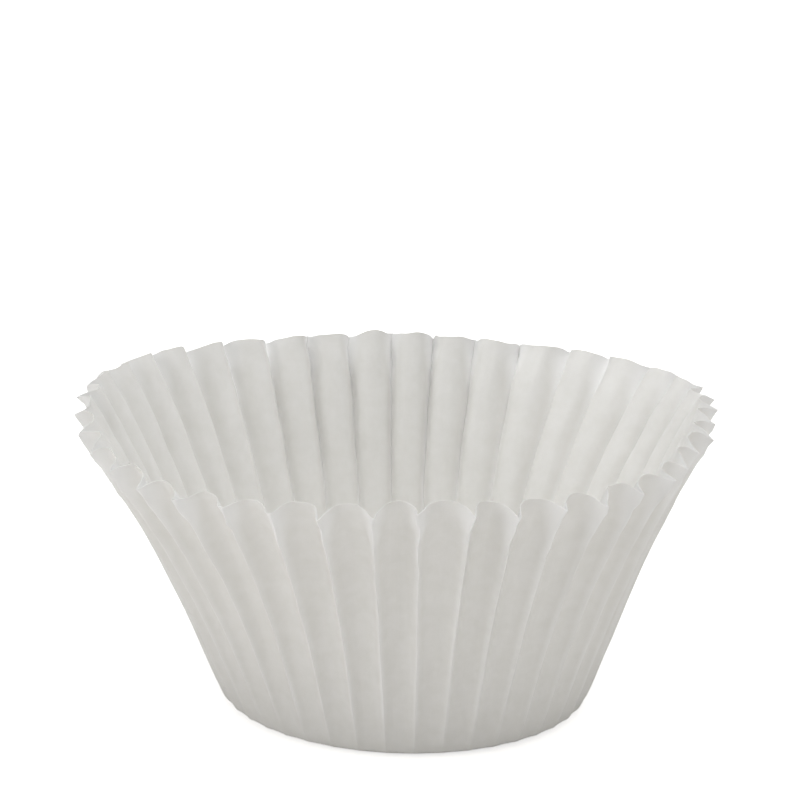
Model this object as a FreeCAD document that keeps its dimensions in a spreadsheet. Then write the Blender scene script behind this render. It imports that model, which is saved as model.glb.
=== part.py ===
import FreeCAD, Part
import math
import os
import Sketcher

# Greaseproof paper baking cup: one round blank pressed into a flat base and a pleated, flaring wall.
# The frame has its origin in the middle of the underside, +Z up; lengths are in millimetres, angles in degrees.
doc = FreeCAD.newDocument("BakingCup")

# The driving sizes, each one written once, with what it measures.
sheet = doc.addObject("Spreadsheet::Sheet", "Sizes")
sizes = [
    ("base_diameter", 50, "across the flat base, at the feet of the crests"),
    ("rim_diameter", 87, "across the mouth, at the tips of the crests"),
    ("wall_length", 42.7, "from the edge of the base to the rim, up the slope of the wall"),
    ("pleat_count", 42, "pleats round the wall"),
    ("pleat_depth", 2.6, "from crest to valley at the rim, square to the wall"),
    ("paper_thickness", 0.08, "creped greaseproof sheet"),
]
for row, (name, value, meaning) in enumerate(sizes, start=1):
    sheet.set(f"A{row}", meaning)
    sheet.set(f"B{row}", str(value))
    sheet.setAlias(f"B{row}", name)
doc.recompute()

# What follows from them. A pleat is the inward side of a round flute between two mirror planes, and all
# flutes have one radius, so they are shallow at the narrow base and deep at the wide rim. The flute's axis
# runs outside the wall: its distance from the line of the crests is base_gap below and rim_gap above.
derived = doc.addObject("App::VarSet", "Derived")
relations = [
    ("half_pitch", "180 / Sizes.pleat_count"),
    ("base_radius", "Sizes.base_diameter / 2 * cos(Derived.half_pitch)"),
    ("rim_radius", "Sizes.rim_diameter / 2 * cos(Derived.half_pitch)"),
    ("base_half_width", "Sizes.base_diameter / 2 * sin(Derived.half_pitch)"),
    ("rim_half_width", "Sizes.rim_diameter / 2 * sin(Derived.half_pitch)"),
    ("flute_radius", "(Derived.rim_half_width ^ 2 + Sizes.pleat_depth ^ 2) / (2 * Sizes.pleat_depth)"),
    ("base_gap", "sqrt(Derived.flute_radius ^ 2 - Derived.base_half_width ^ 2)"),
    ("rim_gap", "Derived.flute_radius - Sizes.pleat_depth"),
    ("wall_rise", "sqrt(Sizes.wall_length ^ 2 - (Derived.rim_radius - Derived.base_radius) ^ 2)"),
    ("wall_lean", "atan((Derived.rim_radius - Derived.base_radius) / Derived.wall_rise) / 1 deg"),
    ("axis_lean", "Derived.wall_lean - atan((Derived.base_gap - Derived.rim_gap) / Sizes.wall_length) / 1 deg"),
    ("reach", "Sizes.wall_length + 4 * Derived.flute_radius"),
]
for name, relation in relations:
    derived.addProperty("App::PropertyFloat", name)
    derived.setExpression(name, relation)
    doc.recompute()

# The cup is one body: a single pleat is built over the +X axis and then repeated round Z.
body = doc.addObject("PartDesign::Body", "Liner")
body.Label = "liner"
planes = {item.Role: item for item in body.Origin.OriginFeatures}


def new_sketch(name, plane, shift=None, hinge=None, lean=None):
    """A sketch on one of the body's origin planes, or shifted from it and leant about a hinge direction."""
    sketch = body.newObject("Sketcher::SketchObject", name)
    sketch.AttachmentSupport = [(planes[plane], "")]
    sketch.MapMode = "FlatFace"
    if shift:
        turn = FreeCAD.Rotation(FreeCAD.Vector(hinge), 1)
        sketch.AttachmentOffset = FreeCAD.Placement(FreeCAD.Vector(0, 0, 0), turn)
        sketch.setExpression("AttachmentOffset.Rotation.Angle", lean)
        for axis, relation in shift.items():
            sketch.setExpression("AttachmentOffset." + axis, relation)
    return sketch


def bind(sketch, constraint, relation):
    """Add a constraint whose size follows a relation."""
    row = sketch.addConstraint(constraint)
    sketch.setExpression(f"Constraints[{row}]", relation)


def outline(sketch, corners):
    """A closed outline of straight lines; each corner is a start position and its two bound distances."""
    first = sketch.GeometryCount
    starts = [FreeCAD.Vector(x, y, 0) for x, y, across, up in corners]
    ends = starts[1:] + starts[:1]
    for start, end in zip(starts, ends):
        sketch.addGeometry(Part.LineSegment(start, end))
    last = sketch.GeometryCount - 1
    for index, (x, y, across, up) in enumerate(corners, start=first):
        before = last if index == first else index - 1
        sketch.addConstraint(Sketcher.Constraint("Coincident", before, 2, index, 1))
        bind(sketch, Sketcher.Constraint("DistanceX", -1, 1, index, 1, 1.0), across)
        bind(sketch, Sketcher.Constraint("DistanceY", -1, 1, index, 1, 1.0), up)


def round_outline(sketch, radius):
    """A circle about the sketch's origin with a bound radius."""
    index = sketch.addGeometry(Part.Circle(FreeCAD.Vector(0, 0, 0), FreeCAD.Vector(0, 0, 1), 1.0))
    sketch.addConstraint(Sketcher.Constraint("Coincident", index, 3, -1, 1))
    bind(sketch, Sketcher.Constraint("Radius", index, 1.0), radius)


def feature(kind, name, sketch, **settings):
    """A pad or pocket of the sketch; text settings that name the sheet or a relation are bound to it."""
    item = body.newObject("PartDesign::" + kind, name)
    item.Profile = sketch
    for key, value in settings.items():
        if isinstance(value, str) and ("Sizes." in value or "Derived." in value):
            item.setExpression(key, value)
        else:
            setattr(item, key, value)
    doc.recompute()
    return item


# The edge of the base under this pleat: a strip of the flat sheet that runs out under the wall.
foot_sketch = new_sketch("FootSketch", "XY_Plane")
foot_inner = "Derived.base_radius - 2 * Derived.flute_radius"
foot_outer = "Derived.base_radius + Derived.flute_radius"
foot_side = "1.5 * Derived.base_half_width"
outline(foot_sketch, [
    (18, -3, foot_inner, "-" + foot_side),
    (28, -3, foot_outer, "-" + foot_side),
    (28, 3, foot_outer, foot_side),
    (18, 3, foot_inner, foot_side),
])
feature("Pad", "Foot", foot_sketch, Length="Sizes.paper_thickness")

# The wall of the pleat: a round bar along the flute's axis, a paper's thickness larger than the flute. It is
# flattened on the open side, a paper's thickness outside the tip of the crest.
below = "2 * Derived.flute_radius"
axis_frame = {
    "Base.x": "Derived.base_radius + Derived.base_gap * cos(Derived.wall_lean)"
              f" - {below} * sin(Derived.axis_lean)",
    "Base.z": f"-Derived.base_gap * sin(Derived.wall_lean) - {below} * cos(Derived.axis_lean)",
}
wall_sketch = new_sketch("WallSketch", "XY_Plane", axis_frame, (0, 1, 0), "Derived.axis_lean")
bar = Part.Circle(FreeCAD.Vector(0, 0, 0), FreeCAD.Vector(0, 0, 1), 3)
wall_sketch.addGeometry(Part.ArcOfCircle(bar, math.pi / 2, 3 * math.pi / 2))
wall_sketch.addGeometry(Part.LineSegment(FreeCAD.Vector(0, -3, 0), FreeCAD.Vector(0, 3, 0)))
wall_sketch.addConstraint([
    Sketcher.Constraint("Coincident", 0, 3, -1, 1),
    Sketcher.Constraint("Coincident", 0, 2, 1, 1),
    Sketcher.Constraint("Coincident", 1, 2, 0, 1),
    Sketcher.Constraint("Vertical", 1),
])
bind(wall_sketch, Sketcher.Constraint("Radius", 0, 3.0), "Derived.flute_radius + Sizes.paper_thickness")
bind(wall_sketch, Sketcher.Constraint("DistanceX", -1, 1, 1, 1, -0.1), "Sizes.paper_thickness - Derived.rim_gap")
feature("Pad", "Wall", wall_sketch, Length="Derived.reach")

# The flute itself, which leaves a gutter of even thickness and scallops the edge of the base.
flute_sketch = new_sketch("FluteSketch", "XY_Plane", axis_frame, (0, 1, 0), "Derived.axis_lean")
round_outline(flute_sketch, "Derived.flute_radius")
feature("Pocket", "Flute", flute_sketch, Type="ThroughAll", Reversed=True)

# Nothing stands below the base.
under_sketch = new_sketch("UnderSketch", "XY_Plane")
outline(under_sketch, [
    (10, -9, "0", "-Derived.reach"),
    (60, -9, "2 * Derived.reach", "-Derived.reach"),
    (60, 9, "2 * Derived.reach", "Derived.reach"),
    (10, 9, "0", "Derived.reach"),
])
feature("Pocket", "Under", under_sketch, Type="ThroughAll")

# The rim. The sketch's own frame has its origin at the tip of the crest and its vertical axis up the wall,
# so the paper is cut off square to the wall, and the valleys end higher than the crests.
rim_frame = {"Base.x": "Derived.rim_radius", "Base.y": "Derived.wall_rise"}
rim_sketch = new_sketch("RimSketch", "XZ_Plane", rim_frame, (0, 0, -1), "Derived.wall_lean")
outline(rim_sketch, [
    (-40, 0, "-Derived.reach", "0"),
    (40, 0, "Derived.reach", "0"),
    (40, 60, "Derived.reach", "Derived.reach"),
    (-40, 60, "-Derived.reach", "Derived.reach"),
])
feature("Pocket", "Rim", rim_sketch, Type="ThroughAll", Midplane=True)

# The mirror planes, where this pleat meets its neighbours and the paper turns sharply into a crest.
side_sketch = new_sketch("SideSketch", "XY_Plane")
near = "Derived.base_radius / 4"
far = "2 * Derived.reach"
for sign in (-1, 1):
    slope = f"{sign} * tan(Derived.half_pitch)"
    beyond = f"{sign} * Derived.reach"
    outline(side_sketch, [
        (6, 1 * sign, near, f"{near} * {slope}"),
        (90, 6 * sign, far, f"{far} * {slope}"),
        (90, 50 * sign, far, beyond),
        (6, 50 * sign, near, beyond),
    ])
feature("Pocket", "Sides", side_sketch, Type="ThroughAll", Midplane=True)

# All pleats round the cup, then the middle of the base, which they close on.
pleats = body.newObject("PartDesign::PolarPattern", "Pleats")
pleats.TransformMode = "Whole shape"
pleats.Axis = (planes["Z_Axis"], "")
pleats.Angle = 360
pleats.setExpression("Occurrences", "Sizes.pleat_count")
body.Tip = pleats
doc.recompute()

base_sketch = new_sketch("BaseSketch", "XY_Plane")
round_outline(base_sketch, "Derived.base_radius - Derived.flute_radius")
base = feature("Pad", "Base", base_sketch, Length="Sizes.paper_thickness")
body.Tip = base
doc.recompute()

# Checks before anything is written.
for item in doc.Objects:
    if "Invalid" in item.State or "Error" in item.State:
        raise RuntimeError(item.Name + " failed: " + ", ".join(item.State))
shape = body.Shape
if shape.isNull() or not shape.isValid() or len(shape.Solids) != 1:
    raise RuntimeError("the cup is not one valid solid")
size = shape.BoundBox
print(f"liner: {size.XLength:.2f} x {size.YLength:.2f} x {size.ZLength:.2f} mm, volume {shape.Volume:.1f} mm3")
os.makedirs("parts", exist_ok=True)
shape.exportStep("parts/" + body.Label + ".step")
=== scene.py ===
# A white greaseproof paper baking cup, standing empty on a white table under soft light from above.
import math

import bpy
from mathutils import Matrix, Vector


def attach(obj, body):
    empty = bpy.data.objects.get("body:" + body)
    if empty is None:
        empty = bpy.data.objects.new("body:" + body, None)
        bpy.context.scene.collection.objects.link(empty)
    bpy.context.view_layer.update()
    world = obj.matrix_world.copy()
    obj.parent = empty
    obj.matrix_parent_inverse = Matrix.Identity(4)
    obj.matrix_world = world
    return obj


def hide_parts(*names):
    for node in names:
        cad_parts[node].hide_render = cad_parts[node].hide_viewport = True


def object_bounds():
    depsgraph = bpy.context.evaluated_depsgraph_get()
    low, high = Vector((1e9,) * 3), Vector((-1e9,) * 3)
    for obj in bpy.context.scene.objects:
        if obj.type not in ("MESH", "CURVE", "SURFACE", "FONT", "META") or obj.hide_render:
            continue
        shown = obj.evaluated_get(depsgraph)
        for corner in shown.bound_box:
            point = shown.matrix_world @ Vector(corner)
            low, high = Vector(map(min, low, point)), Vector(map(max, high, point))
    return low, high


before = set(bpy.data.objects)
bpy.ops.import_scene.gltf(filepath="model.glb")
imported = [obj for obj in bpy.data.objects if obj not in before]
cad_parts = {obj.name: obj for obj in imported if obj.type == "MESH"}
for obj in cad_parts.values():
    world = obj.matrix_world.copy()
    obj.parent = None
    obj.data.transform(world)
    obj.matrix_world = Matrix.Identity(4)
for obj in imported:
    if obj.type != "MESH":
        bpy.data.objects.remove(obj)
cad_low, cad_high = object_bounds()

# The cup. The real one is a round blank of greaseproof paper, pressed between a ribbed punch and die. The
# middle stays flat as its base, and the rest is gathered into pleats with round valleys and sharp outward
# folds. One pleat is shaped on a grid, repeated round the axis, welded and then made uneven.

# Lengths are in metres, apart from those whose names end in MM.
MM = 1000.0               # millimetres in a metre
BASE_RADIUS = 0.025       # to the edge of the base
WALL_LENGTH = 0.0427      # paper from the edge of the base to the rim
PLEATS = 42
PLEAT_DEPTH = 0.0032      # from fold to valley at the rim
PAPER_THICKNESS = 0.00006
CRIMP = 0.0010            # how far the pleats run in under the base
BEND_SOFTNESS = 0.0010    # how far the bend at the base spreads
FOLD_SOFTNESS = 0.00042   # how far a fold is rounded
VALLEY_FULLNESS = 2.7     # 2 is a parabola, more is flatter in the valley and steeper at the folds
DEPTH_GROWTH = 0.85       # the power with which a pleat deepens on its way up
ROUNDING_GROWTH = 0.5     # the power with which its fold grows rounder
FLARE = 0.00115           # how far the wall bows inwards between base and rim
BOW_HEIGHT = 1.5          # the bow is x^1.5 * (1 - x) at the share x of the wall, so deepest at 0.6
BOW_PEAK = 5.38           # one over that formula's largest value

# What makes it uneven. Each of these grows from nothing at the base to its full size at the rim, with its
# growth as the power, so one with a high growth keeps to the rim. The lean of the mouth grows evenly.
SEED = 7
RIM_JITTER = 0.0015       # how much the pleats differ from each other
JITTER_GROWTH = 1.3
PLEATS_UNALIKE = 8.0      # noise scale round a circle of radius 1, at which neighbouring pleats differ
PLEAT_DRIFT = 0.08        # how much of that changes on the way up one pleat
RIM_DENTS = 0.0020        # how deep handling has dented the last millimetres of the folds
DENT_SIZE_MM = 2.2
DENT_GROWTH = 8.0
DENT_SEED = 0.3           # added to the seed, so that the dents have a noise of their own
DENTS_OFF_FOLD = 0.35     # the share of a dent's depth that is left in the valleys
PINCH = 0.0004            # how far some folds are pushed in at their tips
PINCH_GROWTH = 10.0
PINCH_SEED = 0.5          # the same for the pinches
PINCH_CHANCE = (0.5, 0.7)  # noise below the first leaves a fold alone, above the second pushes it right in
FOLD_NARROWNESS = 5.0     # the power that keeps dents and pinches near the fold
BUCKLES = 0.0006          # how much the sheet buckles in and out
BUCKLE_SIZE_MM = 7.0
BUCKLE_GROWTH = 0.6
RIM_LEAN = (-0.0014, 0.0003)  # the mouth stands a little to one side of the base
OUT_OF_ROUND_GROWTH = 2.0
# How the mouth stands out of round: lobes round the rim, height of a lobe, heading of its top in degrees. No
# lobes is a shift that is the same all round.
LOBES_OUTWARDS = ((0, 0.0007, 0), (2, 0.0018, -146), (3, 0.0010, -73), (4, 0.0013, -129))
LOBES_UPWARDS = ((1, 0.0011, -103), (2, 0.0007, -20), (4, 0.0006, 6))
LOBES_SIDEWAYS = ((0, -0.0004, 0), (1, 0.0010, -32))

# The grid of one pleat, whose rows stand closer together towards the bend at the base.
PLEAT_COLUMNS = 24
BASE_ROWS = 5
WALL_ROWS = 41
BASE_CROWDING = 2.0
WALL_CROWDING = 1.4
WELD = 0.000001           # neighbouring pleats are merged within this distance
CREASE_ANGLE = 35         # folds sharper than this, in degrees, are shaded as edges

# Greaseproof paper: thin calendered sulphite paper, white with a dull sheen, through which some light passes.
# Drawing it into the die leaves long streaks up the pleats, and pressing leaves fine cross creases beside the
# folds. The pale bands along the folds are painted highlight, widest and palest towards the rim, where they
# also stand in for light shining through the paper.
PAPER_WHITE = "#EDECE9"
PAPER_CLOUD = "#E9E8E4"
# The colour of the painted highlight along the folds.
FOLD_HIGHLIGHT_WHITE = "#FCFCFB"
CLOUD_SIZE_MM = 2.2       # the mottled formation of thin paper
CREASE_SPACING_MM = 0.9   # the fine cross creases
CREASE_DEPTH = 0.00003
STREAK_LENGTH_MM = 25.0   # the long streaks up the pleats
STREAKS_PER_PLEAT = 3.0
STREAK_DEPTH = 0.00006
FIBRE_DEPTH = 0.00002
FIBRE_STRENGTH = 0.35
PLEAT_STEPS = (9.7, 7.3)  # how far apart in the noise two pleats take their streaks and their creases
SHEEN = (0.42, 0.56)      # roughness from the pressed to the open patches
SHEEN_MOTTLE = (0.3, 0.7)  # the range of the noise that makes them
WALL_STARTS_MM = (1, 8)   # past the edge of the base, where streaks and creases fade in
MOTTLE = (0.35, 0.65)     # the range of the noise that makes the whole range of a pattern
CREASED_FLANK = (0.6, 0.95)  # across the pleat, where 1 is the fold
# The painted highlight along the folds, and the painted light through the paper near the rim:
HIGHLIGHT_BAND_EDGE = (0.72, 0.3)   # across the pleat, the edge of the pale band low on the wall and at the rim
BAND_WIDENS_MM = 7.0      # in the last millimetres below the rim
RIM_LIGHT_PAINTED_MM = 9.0         # how far below the rim the bands grow paler
HIGHLIGHT_STRENGTH = (0.2, 0.65)  # how pale the streaks leave a band
RIM_MM = (BASE_RADIUS + WALL_LENGTH) * MM


def linear(colour):
    """Linear red, green and blue with full alpha from an sRGB hex colour."""
    parts = [int(colour[i:i + 2], 16) / 255 for i in (1, 3, 5)]
    return [p / 12.92 if p <= 0.04045 else ((p + 0.055) / 1.055) ** 2.4 for p in parts] + [1.0]


def add(tree, kind, sockets=None, **settings):
    """Add a node, set its settings, set or link its sockets, and give its outputs."""
    node = tree.nodes.new(kind)
    for name, value in settings.items():
        setattr(node, name, value)
    for name, value in (sockets or {}).items():
        if isinstance(value, bpy.types.NodeSocket):
            tree.links.new(value, node.inputs[name])
        else:
            node.inputs[name].default_value = value
    return node.outputs


# The sheet attribute gives the distance along the paper from the middle of the base in millimetres, the place
# across the pleat from fold to fold (-1 to 1) and the number of the pleat.
paper = bpy.data.materials.new("greaseproof_paper_calendered")
paper.use_nodes = True
look = paper.node_tree
look.nodes.clear()
place = add(look, "ShaderNodeTexCoord")["Object"]
on_sheet = add(look, "ShaderNodeSeparateXYZ", {
    "Vector": add(look, "ShaderNodeAttribute", attribute_name="sheet")["Vector"]})
towards_fold = add(look, "ShaderNodeMath", {0: on_sheet["Y"]}, operation="ABSOLUTE")[0]

cloud = add(look, "ShaderNodeTexNoise", {
    "Vector": place, "Scale": MM / CLOUD_SIZE_MM, "Detail": 5.0, "Roughness": 0.6})["Fac"]
clouded = add(look, "ShaderNodeMapRange", {"Value": cloud, "From Min": MOTTLE[0], "From Max": MOTTLE[1]})[0]
body_colour = add(look, "ShaderNodeMix", {0: clouded, 6: linear(PAPER_CLOUD), 7: linear(PAPER_WHITE)},
                  data_type="RGBA")[2]
on_wall = add(look, "ShaderNodeMapRange", {
    "Value": on_sheet["X"], "From Min": BASE_RADIUS * MM + WALL_STARTS_MM[0],
    "From Max": BASE_RADIUS * MM + WALL_STARTS_MM[1]})[0]
streak_place = add(look, "ShaderNodeCombineXYZ", {
    "X": add(look, "ShaderNodeMath", {0: on_sheet["X"], 1: 1 / STREAK_LENGTH_MM}, operation="MULTIPLY")[0],
    "Y": add(look, "ShaderNodeMath", {0: on_sheet["Y"], 1: STREAKS_PER_PLEAT}, operation="MULTIPLY")[0],
    "Z": add(look, "ShaderNodeMath", {0: on_sheet["Z"], 1: PLEAT_STEPS[0]}, operation="MULTIPLY")[0]})[0]
streaks = add(look, "ShaderNodeTexNoise", {"Vector": streak_place, "Scale": 1.0, "Detail": 3.0})["Fac"]

# The pale bands along the folds are painted highlight, widest and palest at the rim, where they also stand in
# for light shining through the thin paper.
highlight_edge = add(look, "ShaderNodeMapRange", {
    "Value": on_sheet["X"], "From Min": RIM_MM - BAND_WIDENS_MM, "From Max": RIM_MM,
    "To Min": HIGHLIGHT_BAND_EDGE[0], "To Max": HIGHLIGHT_BAND_EDGE[1]}, interpolation_type="SMOOTHSTEP")[0]
fold_highlight = add(look, "ShaderNodeMapRange", {
    "Value": towards_fold, "From Min": highlight_edge, "From Max": 1.0}, interpolation_type="SMOOTHSTEP")[0]
rim_light_painted = add(look, "ShaderNodeMapRange", {
    "Value": on_sheet["X"], "From Min": RIM_MM - RIM_LIGHT_PAINTED_MM, "From Max": RIM_MM})[0]
highlight_unevenness = add(look, "ShaderNodeMapRange", {
    "Value": streaks, "From Min": MOTTLE[0], "From Max": MOTTLE[1],
    "To Min": HIGHLIGHT_STRENGTH[0], "To Max": HIGHLIGHT_STRENGTH[1]})[0]
painted_fold_light = add(look, "ShaderNodeMath", {
    0: add(look, "ShaderNodeMath", {0: highlight_unevenness, 1: rim_light_painted}, operation="ADD", use_clamp=True)[0],
    1: add(look, "ShaderNodeMath", {0: fold_highlight, 1: on_wall}, operation="MULTIPLY")[0]},
    operation="MULTIPLY")[0]
colour = add(look, "ShaderNodeMix", {0: painted_fold_light, 6: body_colour, 7: linear(FOLD_HIGHLIGHT_WHITE)},
             data_type="RGBA")[2]

# The relief: cross creases on the flanks of the folds, streaks up the wall and the fibres of the sheet.
crease_along = add(look, "ShaderNodeMath", {0: on_sheet["X"], 1: 1 / CREASE_SPACING_MM},
                   operation="MULTIPLY")[0]
crease_place = add(look, "ShaderNodeCombineXYZ", {
    "X": crease_along, "Y": on_sheet["Y"],
    "Z": add(look, "ShaderNodeMath", {0: on_sheet["Z"], 1: PLEAT_STEPS[1]}, operation="MULTIPLY")[0]})[0]
creases = add(look, "ShaderNodeTexNoise", {
    "Vector": crease_place, "Scale": 1.0, "Detail": 2.0, "Distortion": 0.4})["Fac"]
flank = add(look, "ShaderNodeMapRange", {
    "Value": towards_fold, "From Min": CREASED_FLANK[0], "From Max": CREASED_FLANK[1]})[0]
creased = add(look, "ShaderNodeMath", {
    0: creases, 1: add(look, "ShaderNodeMath", {0: flank, 1: on_wall}, operation="MULTIPLY")[0]},
    operation="MULTIPLY")[0]
crease_bump = add(look, "ShaderNodeBump", {"Strength": 1.0, "Distance": CREASE_DEPTH, "Height": creased})[0]
streak_bump = add(look, "ShaderNodeBump", {
    "Strength": 1.0, "Distance": STREAK_DEPTH, "Normal": crease_bump,
    "Height": add(look, "ShaderNodeMath", {0: streaks, 1: on_wall}, operation="MULTIPLY")[0]})[0]
fibre_bump = add(look, "ShaderNodeBump", {
    "Strength": FIBRE_STRENGTH, "Distance": FIBRE_DEPTH, "Height": cloud, "Normal": streak_bump})[0]
sheen_patches = add(look, "ShaderNodeMapRange", {
    "Value": cloud, "From Min": SHEEN_MOTTLE[0], "From Max": SHEEN_MOTTLE[1],
    "To Min": SHEEN[0], "To Max": SHEEN[1]})[0]
surface = add(look, "ShaderNodeBsdfPrincipled", {
    "Base Color": colour, "Roughness": sheen_patches, "IOR": 1.5, "Specular IOR Level": 0.35,
    "Subsurface Weight": 0.35, "Subsurface Radius": (1.0, 1.0, 1.0), "Subsurface Scale": 0.0002,
    "Normal": fibre_bump})[0]
add(look, "ShaderNodeOutputMaterial", {"Surface": surface})

# The tree that shapes one pleat over +X, repeats it and makes the cup uneven.
tree = bpy.data.node_groups.new("PleatedCup", "GeometryNodeTree")
tree.interface.new_socket(name="Cup", in_out="OUTPUT", socket_type="NodeSocketGeometry")
named_inputs = {
    "Base Radius": BASE_RADIUS,
    "Rim Radius": cad_high.x,
    "Wall Length": WALL_LENGTH,
    "Pleat Depth": PLEAT_DEPTH,
    "Crimp": CRIMP,
    "Valley Fullness": VALLEY_FULLNESS,
    "Bend Softness": BEND_SOFTNESS,
    "Fold Softness": FOLD_SOFTNESS,
    "Flare": FLARE,
    "Rim Jitter": RIM_JITTER,
    "Rim Dents": RIM_DENTS,
    "Pinch": PINCH,
    "Buckles": BUCKLES,
    "Pleats": PLEATS,
    "Columns": PLEAT_COLUMNS,
    "Base Rows": BASE_ROWS,
    "Wall Rows": WALL_ROWS,
    "Seed": SEED,
    "Paper": paper,
}
kinds = {float: "NodeSocketFloat", int: "NodeSocketInt", bpy.types.Material: "NodeSocketMaterial"}
identifiers = {
    name: tree.interface.new_socket(name=name, in_out="INPUT", socket_type=kinds[type(value)]).identifier
    for name, value in named_inputs.items()}
size = add(tree, "NodeGroupInput")

# Rows run from the middle of the base to the rim, closest together at the bend, and columns from fold to
# fold, closest together at the folds.
rows = add(tree, "ShaderNodeMath", {0: size["Base Rows"], 1: size["Wall Rows"]}, operation="ADD")[0]
grid = add(tree, "GeometryNodeMeshGrid", {
    "Size X": 1.0, "Size Y": 1.0,
    "Vertices X": add(tree, "ShaderNodeMath", {0: size["Columns"], 1: 1.0}, operation="ADD")[0],
    "Vertices Y": add(tree, "ShaderNodeMath", {0: rows, 1: 1.0}, operation="ADD")[0]})
on_grid = add(tree, "ShaderNodeSeparateXYZ", {"Vector": add(tree, "GeometryNodeInputPosition")[0]})
across = add(tree, "ShaderNodeMath", {
    0: add(tree, "ShaderNodeMath", {0: on_grid["X"], 1: math.pi}, operation="MULTIPLY")[0]},
    operation="SINE")[0]
row = add(tree, "ShaderNodeMath", {
    0: add(tree, "ShaderNodeMath", {0: on_grid["Y"], 1: 0.5}, operation="ADD")[0], 1: rows},
    operation="MULTIPLY")[0]
to_edge = add(tree, "ShaderNodeMapRange", {
    "Value": row, "From Min": 0.0, "From Max": size["Base Rows"], "To Min": 1.0, "To Max": 0.0})[0]
base_part = add(tree, "ShaderNodeMath", {
    0: 1.0, 1: add(tree, "ShaderNodeMath", {0: to_edge, 1: BASE_CROWDING}, operation="POWER")[0]},
    operation="SUBTRACT")[0]
up_wall = add(tree, "ShaderNodeMapRange", {
    "Value": row, "From Min": size["Base Rows"], "From Max": rows})[0]
wall_part = add(tree, "ShaderNodeMath", {0: up_wall, 1: WALL_CROWDING}, operation="POWER")[0]
past_edge = add(tree, "ShaderNodeMath", {
    0: add(tree, "ShaderNodeMath", {0: base_part, 1: 1.0}, operation="SUBTRACT")[0],
    1: size["Base Radius"]}, operation="MULTIPLY")[0]
from_edge = add(tree, "ShaderNodeMath", {0: wall_part, 1: size["Wall Length"], 2: past_edge},
                operation="MULTIPLY_ADD")[0]

# The line of the folds: flat, then up the slope of the wall, with a soft bend between the two. The paper that
# has turned up the slope is (d + sqrt(d^2 + softness^2)) / 2, where d is the distance past the edge of the
# base.
spread = add(tree, "ShaderNodeVectorMath", {
    0: add(tree, "ShaderNodeCombineXYZ", {
        "X": from_edge,
        "Y": add(tree, "ShaderNodeMath", {0: size["Bend Softness"], 1: base_part},
                 operation="MULTIPLY")[0]})[0]},
    operation="LENGTH")["Value"]
turned_up = add(tree, "ShaderNodeMath", {
    0: add(tree, "ShaderNodeMath", {0: from_edge, 1: spread}, operation="ADD")[0], 1: 0.5},
    operation="MULTIPLY")[0]
half_pitch = add(tree, "ShaderNodeMath", {0: math.pi, 1: size["Pleats"]}, operation="DIVIDE")[0]
pitch_slope = add(tree, "ShaderNodeMath", {0: half_pitch}, operation="TANGENT")[0]
lean = add(tree, "ShaderNodeMath", {
    0: add(tree, "ShaderNodeMath", {0: size["Rim Radius"], 1: size["Base Radius"]},
           operation="SUBTRACT")[0],
    1: size["Wall Length"]}, operation="DIVIDE")[0]
rise = add(tree, "ShaderNodeMath", {
    0: add(tree, "ShaderNodeMath", {0: lean}, operation="ARCCOSINE")[0]}, operation="SINE")[0]
bow_shape = add(tree, "ShaderNodeMath", {
    0: add(tree, "ShaderNodeMath", {0: wall_part, 1: BOW_HEIGHT}, operation="POWER")[0],
    1: add(tree, "ShaderNodeMath", {0: 1.0, 1: wall_part}, operation="SUBTRACT")[0]},
    operation="MULTIPLY")[0]
bow = add(tree, "ShaderNodeMath", {
    0: bow_shape, 1: add(tree, "ShaderNodeMath", {0: size["Flare"], 1: BOW_PEAK}, operation="MULTIPLY")[0]},
    operation="MULTIPLY")[0]
flat_run = add(tree, "ShaderNodeMath", {
    0: add(tree, "ShaderNodeMath", {0: size["Base Radius"], 1: from_edge}, operation="ADD")[0],
    1: turned_up}, operation="SUBTRACT")[0]
line_radius = add(tree, "ShaderNodeMath", {0: turned_up, 1: lean, 2: flat_run},
                  operation="MULTIPLY_ADD")[0]
fold_radius = add(tree, "ShaderNodeMath", {
    0: line_radius, 1: add(tree, "ShaderNodeMath", {0: bow, 1: rise}, operation="MULTIPLY")[0]},
    operation="SUBTRACT")[0]

# Square to the wall, a pleat's section bulges in from fold to fold with a flat-topped valley and steep
# flanks: depth * (1 - |across|^n). It starts a little inside the edge of the base, which it scallops, and its
# depth grows fast at first, as the spare paper does.
pleated = add(tree, "ShaderNodeMapRange", {
    "Value": from_edge,
    "From Min": add(tree, "ShaderNodeMath", {0: size["Crimp"], 1: -1.0}, operation="MULTIPLY")[0],
    "From Max": size["Wall Length"]})[0]
depth = add(tree, "ShaderNodeMath", {
    0: add(tree, "ShaderNodeMath", {0: pleated, 1: DEPTH_GROWTH}, operation="POWER")[0],
    1: size["Pleat Depth"]}, operation="MULTIPLY")[0]
steepened = add(tree, "ShaderNodeMath", {
    0: add(tree, "ShaderNodeMath", {0: across}, operation="ABSOLUTE")[0], 1: size["Valley Fullness"]},
    operation="POWER")[0]
sharp_inset = add(tree, "ShaderNodeMath", {
    0: depth, 1: add(tree, "ShaderNodeMath", {0: 1.0, 1: steepened}, operation="SUBTRACT")[0]},
    operation="MULTIPLY")[0]
rounding = add(tree, "ShaderNodeMath", {
    0: size["Fold Softness"],
    1: add(tree, "ShaderNodeMath", {0: pleated, 1: ROUNDING_GROWTH}, operation="POWER")[0]},
    operation="MULTIPLY")[0]
rounded_radius = add(tree, "ShaderNodeMath", {
    0: fold_radius, 1: add(tree, "ShaderNodeMath", {0: rounding, 1: rise}, operation="MULTIPLY")[0]},
    operation="SUBTRACT")[0]
sideways = add(tree, "ShaderNodeMath", {
    0: across,
    1: add(tree, "ShaderNodeMath", {0: rounded_radius, 1: pitch_slope}, operation="MULTIPLY")[0]},
    operation="MULTIPLY")[0]
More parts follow.
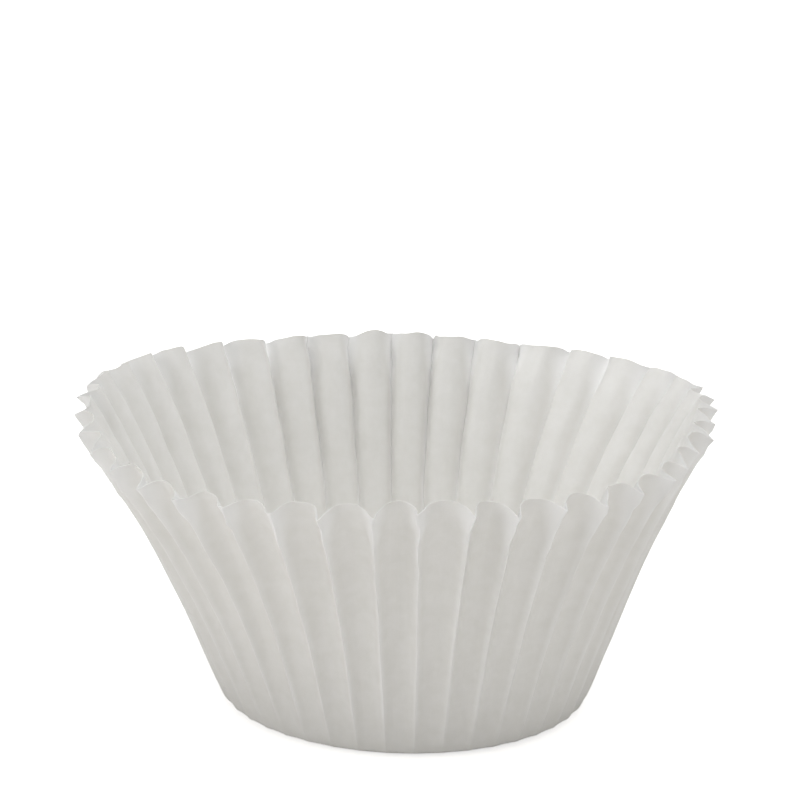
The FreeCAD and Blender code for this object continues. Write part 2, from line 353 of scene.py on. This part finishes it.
inset = add(tree, "ShaderNodeVectorMath", {
    0: add(tree, "ShaderNodeCombineXYZ", {"X": sharp_inset, "Y": rounding})[0]},
    operation="LENGTH")["Value"]
moved_in = add(tree, "ShaderNodeMath", {0: inset, 1: bow}, operation="ADD")[0]
outwards = add(tree, "ShaderNodeMath", {
    0: line_radius, 1: add(tree, "ShaderNodeMath", {0: moved_in, 1: rise}, operation="MULTIPLY")[0]},
    operation="SUBTRACT")[0]
upwards = add(tree, "ShaderNodeMath", {
    0: turned_up, 1: rise, 2: add(tree, "ShaderNodeMath", {0: moved_in, 1: lean}, operation="MULTIPLY")[0]},
    operation="MULTIPLY_ADD")[0]

# The place on the sheet is kept on the face corners, so that neighbours don't share it where they are welded.
sheet_place = add(tree, "ShaderNodeCombineXYZ", {
    "X": add(tree, "ShaderNodeMath", {
        0: add(tree, "ShaderNodeMath", {0: from_edge, 1: size["Base Radius"]}, operation="ADD")[0],
        1: MM}, operation="MULTIPLY")[0],
    "Y": across})[0]
marked = add(tree, "GeometryNodeStoreNamedAttribute", {
    "Geometry": grid["Mesh"], "Name": "sheet", "Value": sheet_place},
    data_type="FLOAT_VECTOR", domain="CORNER")[0]
creased_line = add(tree, "GeometryNodeStoreNamedAttribute", {
    "Geometry": marked, "Name": "fold",
    "Value": add(tree, "ShaderNodeMath", {
        0: add(tree, "ShaderNodeMath", {0: across}, operation="ABSOLUTE")[0], 1: FOLD_NARROWNESS},
        operation="POWER")[0]},
    data_type="FLOAT", domain="POINT")[0]
pleat = add(tree, "GeometryNodeSetPosition", {
    "Geometry": creased_line,
    "Position": add(tree, "ShaderNodeCombineXYZ", {"X": outwards, "Y": sideways, "Z": upwards})[0]})[0]

# All pleats round the axis, each with its number, welded to its neighbours.
places = add(tree, "GeometryNodeMeshLine", {"Count": size["Pleats"], "Offset": (0.0, 0.0, 0.0)})[0]
number = add(tree, "GeometryNodeInputIndex")[0]
turn = add(tree, "ShaderNodeMath", {
    0: number, 1: add(tree, "ShaderNodeMath", {0: half_pitch, 1: 2.0}, operation="MULTIPLY")[0]},
    operation="MULTIPLY")[0]
ring = add(tree, "GeometryNodeInstanceOnPoints", {
    "Points": places, "Instance": pleat,
    "Rotation": add(tree, "FunctionNodeEulerToRotation", {
        "Euler": add(tree, "ShaderNodeCombineXYZ", {"Z": turn})[0]})[0]})[0]
numbered = add(tree, "GeometryNodeStoreNamedAttribute", {
    "Geometry": ring, "Name": "pleat", "Value": number}, data_type="FLOAT", domain="INSTANCE")[0]
loose = add(tree, "GeometryNodeRealizeInstances", {"Geometry": numbered})[0]
kept = add(tree, "ShaderNodeSeparateXYZ", {
    "Vector": add(tree, "GeometryNodeInputNamedAttribute", {"Name": "sheet"}, data_type="FLOAT_VECTOR")[0]})
all_marked = add(tree, "GeometryNodeStoreNamedAttribute", {
    "Geometry": loose, "Name": "sheet",
    "Value": add(tree, "ShaderNodeCombineXYZ", {
        "X": kept["X"], "Y": kept["Y"],
        "Z": add(tree, "GeometryNodeInputNamedAttribute", {"Name": "pleat"}, data_type="FLOAT")[0]})[0]},
    data_type="FLOAT_VECTOR", domain="CORNER")[0]
welded = add(tree, "GeometryNodeMergeByDistance", {"Geometry": all_marked, "Distance": WELD})[0]

# Paper this thin never springs open evenly. Towards the rim the cup is out of round, and each pleat stands a
# little to one side, further in or out, and higher or lower than the next. The sheet buckles between them,
# and handling has dented the rim and pushed in the tips of some folds.
growth = add(tree, "ShaderNodeMapRange", {
    "Value": kept["X"],
    "From Min": add(tree, "ShaderNodeMath", {0: size["Base Radius"], 1: MM}, operation="MULTIPLY")[0],
    "From Max": add(tree, "ShaderNodeMath", {
        0: add(tree, "ShaderNodeMath", {0: size["Base Radius"], 1: size["Wall Length"]}, operation="ADD")[0],
        1: MM}, operation="MULTIPLY")[0]})[0]


def grown(power, full_size):
    """A size that grows from nothing at the base to its full size at the rim."""
    share = add(tree, "ShaderNodeMath", {0: growth, 1: power}, operation="POWER")[0]
    return add(tree, "ShaderNodeMath", {0: share, 1: full_size}, operation="MULTIPLY")[0]


def pushed(noise, strength):
    """A push in a random direction, from a noise whose middle is no push at all."""
    centred = add(tree, "ShaderNodeVectorMath", {0: noise, 1: (0.5, 0.5, 0.5)}, operation="SUBTRACT")[0]
    return add(tree, "ShaderNodeVectorMath", {0: centred, "Scale": strength}, operation="SCALE")[0]


spot = add(tree, "GeometryNodeInputPosition")[0]
on_ring = add(tree, "ShaderNodeSeparateXYZ", {"Vector": spot})
heading = add(tree, "ShaderNodeMath", {0: on_ring["Y"], 1: on_ring["X"]}, operation="ARCTAN2")[0]
shifts = []
for lobes in (LOBES_OUTWARDS, LOBES_SIDEWAYS, LOBES_UPWARDS):
    shift = None
    for count, height, top in lobes:
        wave = add(tree, "ShaderNodeMath", {
            0: add(tree, "ShaderNodeMath", {0: heading, 1: count, 2: -count * math.radians(top)},
                   operation="MULTIPLY_ADD")[0]}, operation="COSINE")[0]
        shift = add(tree, "ShaderNodeMath", {0: wave, 1: height, 2: shift or 0.0},
                    operation="MULTIPLY_ADD")[0]
    shifts.append(shift)
shift_out, shift_side, shift_up = shifts
near_rim = add(tree, "ShaderNodeMath", {0: growth, 1: OUT_OF_ROUND_GROWTH}, operation="POWER")[0]
out_of_round = add(tree, "ShaderNodeVectorMath", {
    0: add(tree, "ShaderNodeVectorRotate", {
        "Vector": add(tree, "ShaderNodeCombineXYZ", {"X": shift_out, "Y": shift_side, "Z": shift_up})[0],
        "Angle": heading}, rotation_type="Z_AXIS")[0],
    "Scale": near_rim}, operation="SCALE")[0]
leant = add(tree, "ShaderNodeVectorMath", {
    0: RIM_LEAN + (0.0,), "Scale": growth}, operation="SCALE")[0]
direction = add(tree, "ShaderNodeCombineXYZ", {
    "X": add(tree, "ShaderNodeMath", {0: heading}, operation="COSINE")[0],
    "Y": add(tree, "ShaderNodeMath", {0: heading}, operation="SINE")[0],
    "Z": add(tree, "ShaderNodeMath", {0: growth, 1: PLEAT_DRIFT}, operation="MULTIPLY")[0]})[0]
chance = add(tree, "ShaderNodeTexNoise", {
    "Vector": direction, "W": size["Seed"], "Scale": PLEATS_UNALIKE, "Detail": 1.0},
    noise_dimensions="4D")["Color"]
jitter = pushed(chance, grown(JITTER_GROWTH, size["Rim Jitter"]))

dents = add(tree, "ShaderNodeTexNoise", {
    "Vector": spot, "W": add(tree, "ShaderNodeMath", {0: size["Seed"], 1: DENT_SEED}, operation="ADD")[0],
    "Scale": MM / DENT_SIZE_MM, "Detail": 0.0}, noise_dimensions="4D")["Color"]
at_fold = add(tree, "GeometryNodeInputNamedAttribute", {"Name": "fold"}, data_type="FLOAT")[0]
weak_spot = grown(DENT_GROWTH, add(tree, "ShaderNodeMapRange", {
    "Value": at_fold, "To Min": DENTS_OFF_FOLD})[0])
dented = pushed(dents, add(tree, "ShaderNodeMath", {0: weak_spot, 1: size["Rim Dents"]},
                           operation="MULTIPLY")[0])

buckles = add(tree, "ShaderNodeTexNoise", {
    "Vector": spot, "W": size["Seed"], "Scale": MM / BUCKLE_SIZE_MM, "Detail": 1.0},
    noise_dimensions="4D")["Color"]
buckled = pushed(buckles, grown(BUCKLE_GROWTH, size["Buckles"]))

luck = add(tree, "ShaderNodeTexNoise", {
    "Vector": direction,
    "W": add(tree, "ShaderNodeMath", {0: size["Seed"], 1: PINCH_SEED}, operation="ADD")[0],
    "Scale": PLEATS_UNALIKE, "Detail": 0.0}, noise_dimensions="4D")["Fac"]
unlucky = add(tree, "ShaderNodeMapRange", {
    "Value": luck, "From Min": PINCH_CHANCE[0], "From Max": PINCH_CHANCE[1]})[0]
at_tip = grown(PINCH_GROWTH, at_fold)
pinch = add(tree, "ShaderNodeMath", {
    0: add(tree, "ShaderNodeMath", {0: unlucky, 1: at_tip}, operation="MULTIPLY")[0],
    1: add(tree, "ShaderNodeMath", {0: size["Pinch"], 1: -1.0}, operation="MULTIPLY")[0]},
    operation="MULTIPLY")[0]
pinched = add(tree, "ShaderNodeVectorMath", {
    0: add(tree, "ShaderNodeVectorMath", {0: direction, 1: (1.0, 1.0, 0.0)}, operation="MULTIPLY")[0],
    "Scale": pinch}, operation="SCALE")[0]

rough = add(tree, "ShaderNodeVectorMath", {
    0: add(tree, "ShaderNodeVectorMath", {0: dented, 1: buckled}, operation="ADD")[0], 1: pinched},
    operation="ADD")[0]
uneven = add(tree, "GeometryNodeSetPosition", {
    "Geometry": welded,
    "Offset": add(tree, "ShaderNodeVectorMath", {
        0: add(tree, "ShaderNodeVectorMath", {0: out_of_round, 1: leant}, operation="ADD")[0],
        1: add(tree, "ShaderNodeVectorMath", {0: jitter, 1: rough}, operation="ADD")[0]},
        operation="ADD")[0]})[0]
smooth = add(tree, "GeometryNodeSetShadeSmooth", {"Geometry": uneven})[0]
finished = add(tree, "GeometryNodeSetMaterial", {
    "Geometry": add(tree, "GeometryNodeRealizeInstances", {"Geometry": smooth})[0],
    "Material": size["Paper"]})[0]
add(tree, "NodeGroupOutput", {"Cup": finished})

# The tree's result is made a plain mesh, and the sheet gets its thickness on the inside.
cup = bpy.data.objects.new("baking_cup", bpy.data.meshes.new("baking_cup"))
bpy.context.collection.objects.link(cup)
shaping = cup.modifiers.new("Pleats", "NODES")
shaping.node_group = tree
for name, value in named_inputs.items():
    shaping[identifiers[name]] = value
sheet_of_paper = cup.modifiers.new("Sheet", "SOLIDIFY")
sheet_of_paper.thickness = PAPER_THICKNESS
sheet_of_paper.offset = -1.0
plain = bpy.data.meshes.new_from_object(cup.evaluated_get(bpy.context.evaluated_depsgraph_get()))
cup.modifiers.clear()
cup.data = plain
cup.data.set_sharp_from_angle(angle=math.radians(CREASE_ANGLE))
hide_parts("liner")
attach(cup, "root")

# The table: a broad white sheet, which takes the cup's soft shadow and shows as white to the camera.
TABLE_SIZE = 6.0
TABLE_CLEARANCE = 0.00002  # keeps the table's face off the cup's
TABLE_WHITE = "#F4F2EF"
TABLE_GLOW = 0.66         # lifts the board to plain white for the camera alone
bpy.ops.mesh.primitive_plane_add(size=TABLE_SIZE, location=(0.0, 0.0, -TABLE_CLEARANCE))
table = bpy.context.object
table.name = "white_table"
table_paint = bpy.data.materials.new("matt_white_board")
table_paint.use_nodes = True
board = table_paint.node_tree
board.nodes.clear()
seen = add(board, "ShaderNodeLightPath")["Is Camera Ray"]
glow = add(board, "ShaderNodeEmission", {
    "Color": (1.0, 1.0, 1.0, 1.0),
    "Strength": add(board, "ShaderNodeMath", {0: seen, 1: TABLE_GLOW}, operation="MULTIPLY")[0]})[0]
matt = add(board, "ShaderNodeBsdfDiffuse", {"Color": linear(TABLE_WHITE)})[0]
add(board, "ShaderNodeOutputMaterial", {"Surface": add(board, "ShaderNodeAddShader", {0: glow, 1: matt})[0]})
table.data.materials.append(table_paint)

# Light: a plain pale room, a broad soft lamp above the cup, and a weak one low on each side.
ROOM_LIGHT = 0.325
# Each lamp's name, width, place and power in watts.
LAMPS = (
    ("soft_lamp_above", 0.9, (0.05, 0.1, 0.9), 6.3),
    ("soft_lamp_left", 0.6, (-0.85, -0.6, 0.45), 2.15),
    ("soft_lamp_right", 0.6, (0.75, -0.75, 0.45), 0.35),
)
room = bpy.data.worlds.new("pale_room")
room.use_nodes = True
air = room.node_tree
air.nodes.clear()
for_camera = add(air, "ShaderNodeLightPath")["Is Camera Ray"]
level = add(air, "ShaderNodeMapRange", {"Value": for_camera, "To Min": ROOM_LIGHT, "To Max": 1.0})[0]
background = add(air, "ShaderNodeBackground", {"Color": (1.0, 1.0, 1.0, 1.0), "Strength": level})[0]
add(air, "ShaderNodeOutputWorld", {"Surface": background})
bpy.context.scene.world = room
for name, width, lamp_place, power in LAMPS:
    lamp = bpy.data.objects.new(name, bpy.data.lights.new(name, "AREA"))
    lamp.data.size = width
    lamp.data.energy = power
    lamp.location = lamp_place
    lamp.rotation_euler = Vector(lamp_place).to_track_quat("Z", "Y").to_euler()
    bpy.context.collection.objects.link(lamp)

# The camera: a long lens that looks down on the cup at a shallow angle, with a valley towards it.
SENSOR_MM = 36.0
LENS_MM = 243.3
ELEVATION = math.radians(18.27)
OFF_VALLEY = 0.54         # degrees past the middle of the valley that faces the camera
AZIMUTH = math.radians(-90 + 180 / PLEATS + OFF_VALLEY)
ROLL = math.radians(1.36)
BASE_IN_VIEW = Vector((0.0005, -0.03977, -0.7433))  # the middle of the base: right, up and back of the lens
back = Vector((
    math.cos(AZIMUTH) * math.cos(ELEVATION), math.sin(AZIMUTH) * math.cos(ELEVATION), math.sin(ELEVATION)))
level_right = Vector((-math.sin(AZIMUTH), math.cos(AZIMUTH), 0.0))
level_up = back.cross(level_right)
right = math.cos(ROLL) * level_right + math.sin(ROLL) * level_up
up = math.cos(ROLL) * level_up - math.sin(ROLL) * level_right
facing = Matrix((right, up, back)).transposed()
camera = bpy.data.objects.new("camera", bpy.data.cameras.new("camera"))
camera.data.lens = LENS_MM
camera.data.sensor_width = SENSOR_MM
camera.matrix_world = Matrix.Translation(-(facing @ BASE_IN_VIEW)) @ facing.to_4x4()
bpy.context.collection.objects.link(camera)
bpy.context.scene.camera = camera
bpy.context.scene.view_settings.view_transform = "Standard"
